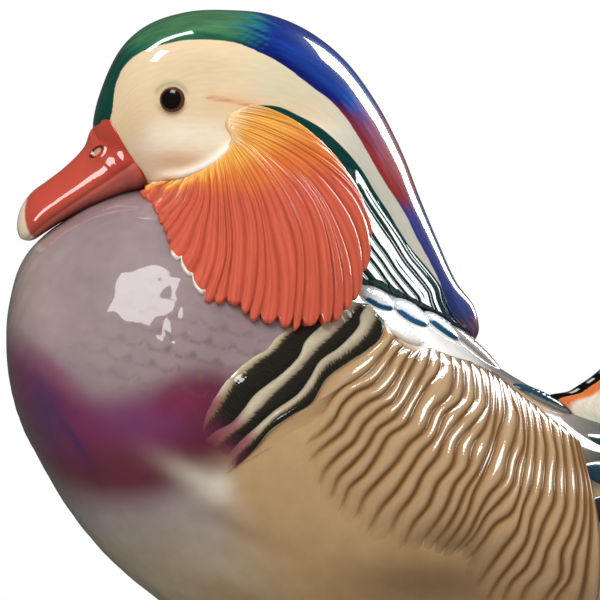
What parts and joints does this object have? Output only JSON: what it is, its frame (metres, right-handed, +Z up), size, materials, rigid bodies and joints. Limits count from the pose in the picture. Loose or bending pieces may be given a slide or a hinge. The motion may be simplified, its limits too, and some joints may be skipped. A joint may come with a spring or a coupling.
{
  "type": "porcelain duck figurine",
  "caption": "Seated mandarin drake of glazed porcelain, with a fluted cheek fan, wavy carved flank feathers and raised sail feathers; stands on its flat belly.",
  "frame": {"origin": "on the ground under the middle of the figure", "axes": "+X towards the tail, the bill along -X, +Y towards the duck's right side, +Z up; the figure is the same on both sides of Y = 0"},
  "size_m": [0.2006, 0.0956, 0.155],
  "materials": {
    "porcelain": "hand-painted plumage colours under a clear high-gloss glaze"
  },
  "bodies": {
    "root": {"duck": "porcelain"}
  },
  "joints": []
}
